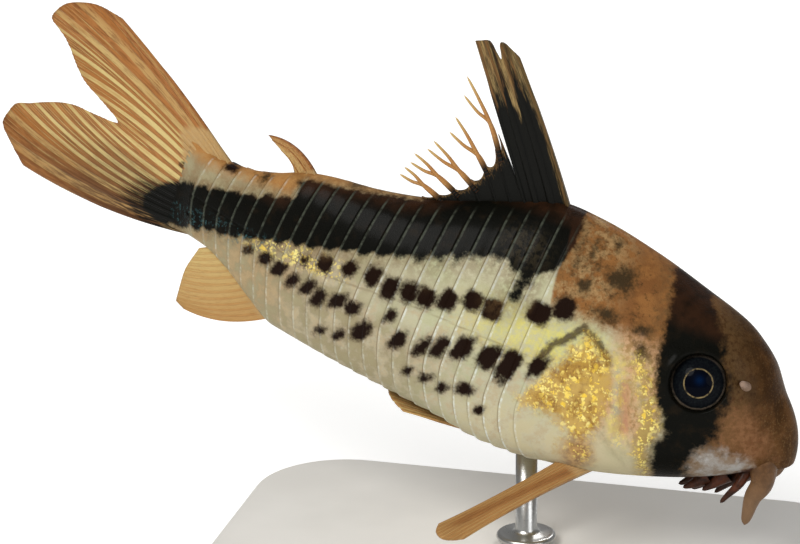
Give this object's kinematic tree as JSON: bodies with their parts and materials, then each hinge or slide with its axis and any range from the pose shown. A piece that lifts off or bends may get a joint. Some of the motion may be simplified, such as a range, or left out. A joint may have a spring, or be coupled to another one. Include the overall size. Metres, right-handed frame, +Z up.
{
  "type": "corydoras catfish display model",
  "caption": "Still, life-size model of a small armoured catfish, head down as it swims, held over a plain flat base by one short rod.",
  "frame": {"origin": "middle of the stand's flat underside", "axes": "+X towards the fish's head along the base's length, +Y to the fish's left across the base, +Z up"},
  "size_m": [0.067, 0.027, 0.0416],
  "materials": {
    "skin": "painted skin under a clear wet coat",
    "fins": "thin amber web with darker rays",
    "eye": "polished glass eye with a dark pupil",
    "barbels": "soft pale flesh under a wet coat",
    "stand": "satin off-white",
    "rod": "fine brushed"
  },
  "bodies": {
    "root": {"head": "skin", "torso": "skin", "tail_stem": "skin", "fin_dorsal": "fins", "fin_adipose": "fins", "fin_caudal": "fins", "fin_anal": "fins", "fin_pectoral_right": "fins", "fin_pectoral_left": "fins", "fin_pelvic_right": "fins", "fin_pelvic_left": "fins", "eye_right": "eye", "eye_left": "eye", "barbel_upper_right": "barbels", "barbel_upper_left": "barbels", "barbel_lower_right": "barbels", "barbel_lower_left": "barbels", "stand_base": "stand", "stand_rod": "rod"}
  },
  "joints": []
}
